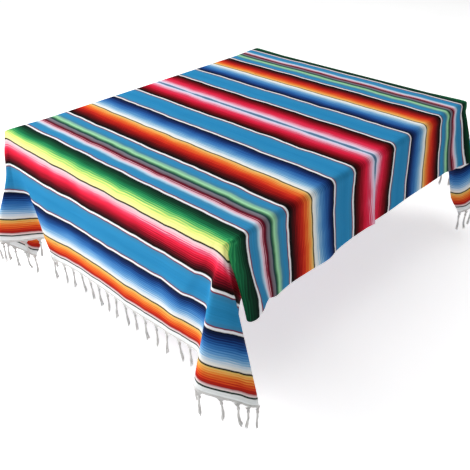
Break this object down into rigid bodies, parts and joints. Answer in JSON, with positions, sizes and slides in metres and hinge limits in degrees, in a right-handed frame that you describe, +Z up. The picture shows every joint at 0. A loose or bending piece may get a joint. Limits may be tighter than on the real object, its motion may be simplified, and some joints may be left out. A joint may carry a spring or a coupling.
{
  "type": "draped serape blanket",
  "caption": "Striped woven serape blanket draped in folds over a flat rectangular top, with a white fringe along both ends.",
  "frame": {"origin": "middle of the underside of the blanket's flat top, where it rests on what it lies over", "axes": "+Z up, +Y along the blanket's length from the near end to the far end, +X along the stripes"},
  "size_m": [1.259, 1.6339, 0.572],
  "materials": {
    "striped_weave": "coarse weft-faced weave in bright shaded stripes",
    "fringe_yarn": "white knotted yarn"
  },
  "bodies": {
    "root": {"serape_cloth": "striped_weave", "fringe_near": "fringe_yarn", "fringe_far": "fringe_yarn"}
  },
  "joints": []
}
